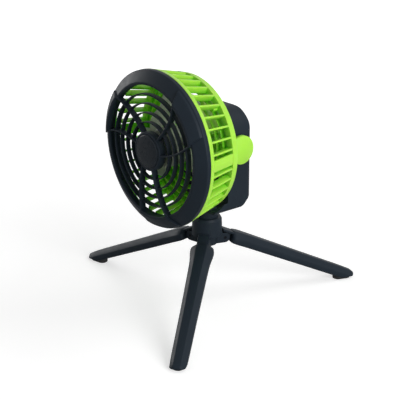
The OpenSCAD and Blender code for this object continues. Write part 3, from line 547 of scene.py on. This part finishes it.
fan_shape = bmesh.new()
spin_profile(fan_shape, [(0.01, FAN_FRONT - 3), (FAN_INNER_R, FAN_FRONT - 3), (FAN_INNER_R, FAN_BACK),
                         (FAN_HUB_R, FAN_BACK), (FAN_HUB_R, FAN_FRONT - 2.5), (FAN_HUB_R - 2.5, FAN_FRONT),
                         (0.01, FAN_FRONT)], 96, 0.6)
for k in range(BLADES):
    sheet = bmesh.new()
    bmesh.ops.create_grid(sheet, x_segments=32, y_segments=14, size=0.5)
    for v in sheet.verts:
        v.co = blade_point(v.co.x + 0.5, v.co.y + 0.5)
    bmesh.ops.rotate(sheet, verts=sheet.verts, cent=(0, 0, 0),
                     matrix=Matrix.Rotation(math.radians(360 / BLADES * k), 3, "Z"))
    bmesh.ops.recalc_face_normals(sheet, faces=sheet.faces)
    bmesh.ops.solidify(sheet, geom=sheet.faces, thickness=1.5)
    join_into(fan_shape, sheet)
finish_piece(fan_shape, "bladed_impeller", smoke, "fan", ["impeller"], sharp=40)

# %% [markdown]
# ## The legs
# A leg is one tapered moulding with a wide shoulder, bevelled along its top, and
# with a channel along its underside that saves plastic. It is drawn as one
# cross-section, extruded from station to station down its length and widened or
# narrowed at each. Beside the pin it has a tongue that fits between the hub's
# cheeks and a hood that covers them. All three legs are the same, turned by 120
# degrees.

# %% Where a leg stands
FOOT_RING_R, STAND_TURN, PIN_OFF, PIN_HIGH, LEG_DROP = 188.0, -20.0, 21.5, 81.5, 25.1
KNUCKLE_R, TONGUE_WIDE, CHEEK_WIDE, PAD_THICK = 6.2, 6.4, 14.6, 3.4
PIN_TO_FOOT = FOOT_RING_R - PIN_OFF
LEG_END = (PIN_TO_FOOT + 12.5) / math.cos(math.radians(LEG_DROP))
HUB_R, GAP = 19.0, 0.3


def leg_frame(i):
    """X runs outwards from the leg's pin, Z up, in millimetres."""
    return (Matrix.Scale(MM, 4) @ Matrix.Rotation(math.radians(90 + STAND_TURN - 120 * i), 4, "Z")
            @ Matrix.Translation((PIN_OFF, 0, PIN_HIGH)))


# %% The stations down a leg and its shape
STATIONS = [  # distance from the pin, width, depth below, height above, width of the flat top
    (7.6, 15.0, 2.2, 10.0, 8.0), (8.2, 22.0, 2.6, 10.5, 10.0), (9.6, 26.0, 2.9, 10.9, 11.5),
    (12.0, 28.4, 3.0, 11.3, 12.5), (16.0, 29.0, 3.0, 11.7, 13.0), (21.0, 28.2, 3.0, 11.9, 13.0),
    (27.0, 26.4, 3.0, 11.9, 12.6), (34.0, 24.8, 3.0, 11.9, 12.2), (44.0, 24.0, 3.0, 11.8, 11.8),
    (65.0, 23.2, 3.0, 11.7, 11.2), (110.0, 21.6, 2.7, 11.3, 10.2), (LEG_END - 26, 20.4, 2.3, 10.9, 9.4),
    (LEG_END - 12, 19.8, 2.1, 10.6, 9.2), (LEG_END - 4, 19.0, 2.1, 10.2, 9.0),
    (LEG_END - 1.4, 17.6, 2.1, 9.2, 8.6), (LEG_END, 15.4, 1.8, 7.4, 8.0)]


def section(wide, low, top, flat):
    half = [(wide / 2 - 1.2, -low), (wide / 2, -low + 1.6), (wide / 2, top * 0.44), (flat / 2, top)]
    return half + [(-y, z) for y, z in reversed(half)]


def leg_shape():
    leg = bmesh.new()
    first = STATIONS[0]
    face = leg.faces.new([leg.verts.new((first[0], y, z)) for y, z in section(*first[1:])])
    ring = list(face.verts)
    for at, wide, low, top, flat in STATIONS[1:]:
        made = bmesh.ops.extrude_face_region(leg, geom=[face])
        if at != STATIONS[1][0]:
            leg.faces.remove(face)
        grown = [v for v in made["geom"] if isinstance(v, bmesh.types.BMVert)]
        face = [f for f in made["geom"] if isinstance(f, bmesh.types.BMFace)][0]
        for v in grown:
            old = min(ring, key=lambda r: (r.co - v.co).length)
            y, z = section(wide, low, top, flat)[ring.index(old)]
            v.co = Vector((at, y, z))
            v.index = ring.index(old)
        ring = sorted(grown, key=lambda v: v.index)
    bmesh.ops.recalc_face_normals(leg, faces=leg.faces)
    channel = [f for f in leg.faces if f.normal.z < -0.9 and 30 < f.calc_center_median().x < LEG_END - 40]
    bmesh.ops.inset_region(leg, faces=channel, thickness=3.5, use_even_offset=True)
    bmesh.ops.inset_region(leg, faces=channel, thickness=0.3, depth=-4.5)
    corners = [e for e in leg.edges if e.calc_face_angle(0) > math.radians(24)]
    bmesh.ops.bevel(leg, geom=corners, offset=0.7, segments=2, profile=0.5, affect="EDGES", material=-1,
                    clamp_overlap=True)
    bmesh.ops.rotate(leg, verts=leg.verts, cent=(0, 0, 0),
                     matrix=Matrix.Rotation(math.radians(LEG_DROP), 3, "Y"))
    floor_cut = (0, 0, PAD_THICK - PIN_HIGH)
    cut = bmesh.ops.bisect_plane(leg, geom=leg.verts[:] + leg.edges[:] + leg.faces[:], dist=0.001,
                                 plane_co=floor_cut, plane_no=(0, 0, -1), clear_outer=True)
    rim = [e for e in cut["geom_cut"] if isinstance(e, bmesh.types.BMEdge)]
    bmesh.ops.holes_fill(leg, edges=rim)
    return leg


def leg_root():
    """The tongue between the hub's cheeks and the hood over them."""
    root = bmesh.new()
    upright = Matrix.Rotation(math.radians(90), 4, "X")
    bmesh.ops.create_cone(root, cap_ends=True, segments=48, radius1=KNUCKLE_R, radius2=KNUCKLE_R,
                          depth=TONGUE_WIDE, matrix=upright)
    down = Matrix.Rotation(math.radians(LEG_DROP), 4, "Y")
    web = down @ Matrix.Translation((5.5, 0, 3.2)) @ Matrix.Diagonal((11.0, TONGUE_WIDE, 12.4, 1))
    bmesh.ops.create_cube(root, size=1, matrix=web)
    hood = bmesh.new()
    bmesh.ops.create_cube(hood, size=1, matrix=Matrix.Diagonal((22.0, CHEEK_WIDE, 3.0, 1)))
    bmesh.ops.bevel(hood, geom=hood.edges[:], offset=0.8, segments=2, profile=0.5, affect="EDGES",
                    material=-1)
    bmesh.ops.transform(hood, verts=hood.verts, matrix=down @ Matrix.Translation((0, 0, KNUCKLE_R + 2.1)))
    clear = HUB_R + GAP - PIN_OFF
    cut = bmesh.ops.bisect_plane(hood, geom=hood.verts[:] + hood.edges[:] + hood.faces[:], dist=0.001,
                                 plane_co=(clear, 0, 0), plane_no=(-1, 0, 0), clear_outer=True)
    bmesh.ops.holes_fill(hood, edges=[e for e in cut["geom_cut"] if isinstance(e, bmesh.types.BMEdge)])
    join_into(root, hood)
    return root


# %% Three legs
for i, side in enumerate(("right", "front", "left")):
    shape = leg_shape()
    root = leg_root()
    join_into(shape, root)
    finish_piece(shape, side + "_tripod_leg", black_satin, side + "_leg", ["leg_" + side],
                 frame_matrix=leg_frame(i), sharp=40)

# %% [markdown]
# ## The rubber feet
# Under each leg's end sits a small rubber pad with a round back and front, pressed
# into the leg. It bulges a little past the leg's underside, and its lower edge is
# worn round. A disc is stretched into a racetrack, raised and rounded.

# %% Three feet
PAD_LONG, PAD_WIDE, PAD_SUNK = 24.0, 14.0, 5.6
for i, side in enumerate(("right", "front", "left")):
    pad = bmesh.new()
    bmesh.ops.create_circle(pad, cap_ends=True, segments=40, radius=PAD_WIDE / 2)
    for v in pad.verts:
        v.co.x += math.copysign((PAD_LONG - PAD_WIDE) / 2, v.co.x)
    rim = [e for e in pad.edges if e.is_boundary]
    raised = bmesh.ops.extrude_face_region(pad, geom=pad.faces[:])
    bmesh.ops.translate(pad, vec=(0, 0, PAD_SUNK), verts=[v for v in raised["geom"]
                                                           if isinstance(v, bmesh.types.BMVert)])
    bmesh.ops.bevel(pad, geom=rim, offset=1.3, segments=4, profile=0.5, affect="EDGES", material=-1)
    bmesh.ops.translate(pad, vec=(PIN_TO_FOOT, 0, -PIN_HIGH), verts=pad.verts)
    finish_piece(pad, side + "_rubber_foot", foot_rubber, side + "_leg", ["foot_pad_" + side],
                 frame_matrix=leg_frame(i), sharp=50)

# %% [markdown]
# ## Floor, backdrop and lamps
# A studio sweep is white and takes a soft shadow. The floor is a plain pale sheet,
# which the camera sees a little brighter than it is, so that it comes out white
# and still keeps the shadow. The world shows white to the camera and to gloss, and
# lights the object softly. A large lamp at the right gives the sides their light.
# Weaker ones above, in front and at the left keep the other faces from going flat.

# %% Floor and backdrop
bpy.ops.mesh.primitive_plane_add(size=12)
floor = bpy.context.object
floor.name = "studio_floor"
floor_finish, floor_tree, floor_shader, floor_place = start_finish("studio_paper")
floor_shader.inputs["Base Color"].default_value = linear("D8D8D8")
floor_shader.inputs["Roughness"].default_value = 0.9
floor_shader.inputs["Specular IOR Level"].default_value = 0.1
rays = add(floor_tree, "ShaderNodeLightPath")
away = add(floor_tree, "ShaderNodeVectorMath", {0: floor_place}, operation="LENGTH")
glow = add(floor_tree, "ShaderNodeMapRange", {
    "Value": away.outputs["Value"], "From Min": 0.25, "From Max": 1.3, "To Min": 0.56, "To Max": 0.9})
seen = add(floor_tree, "ShaderNodeMath", {0: rays.outputs["Is Camera Ray"], 1: glow.outputs["Result"]},
           operation="MULTIPLY")
floor_shader.inputs["Emission Color"].default_value = (1, 1, 1, 1)
floor_tree.links.new(seen.outputs[0], floor_shader.inputs["Emission Strength"])
floor.data.materials.append(floor_finish)

world = bpy.data.worlds.new("studio")
bpy.context.scene.world = world
world.use_nodes = True
sky = world.node_tree
rays = add(sky, "ShaderNodeLightPath")
shown = add(sky, "ShaderNodeMath", {0: rays.outputs["Is Camera Ray"], 1: rays.outputs["Is Glossy Ray"]},
            operation="MAXIMUM")
shown = add(sky, "ShaderNodeMath", {0: shown.outputs[0], 1: rays.outputs["Is Transmission Ray"]},
            operation="MAXIMUM")
strength = add(sky, "ShaderNodeMapRange", {"Value": shown.outputs[0], "To Min": 0.25, "To Max": 1.0})
sky.nodes["Background"].inputs["Color"].default_value = (1, 1, 1, 1)
sky.links.new(strength.outputs["Result"], sky.nodes["Background"].inputs["Strength"])

# %% Lamps
def softbox(name, at, aim_at, size, power):
    lamp = bpy.data.lights.new(name, "AREA")
    lamp.shape = "RECTANGLE"
    lamp.size, lamp.size_y = size
    lamp.energy = power
    holder = bpy.data.objects.new(name, lamp)
    holder.location = at
    holder.rotation_euler = (Vector(at) - Vector(aim_at)).to_track_quat("Z", "Y").to_euler()
    bpy.context.scene.collection.objects.link(holder)


softbox("side_softbox", (2.4, -0.2, 0.9), (0, 0, 0.15), (1.4, 1.4), 50)
softbox("top_softbox", (0.8, 1.1, 1.9), (0, 0, 0.15), (1.4, 1.0), 10)
softbox("front_softbox", (-0.6, -2.1, 1.6), (0, 0, 0.15), (1.4, 1.0), 1.5)
softbox("left_softbox", (-2.2, -0.3, 0.5), (0, 0, 0.15), (1.0, 1.0), 12)
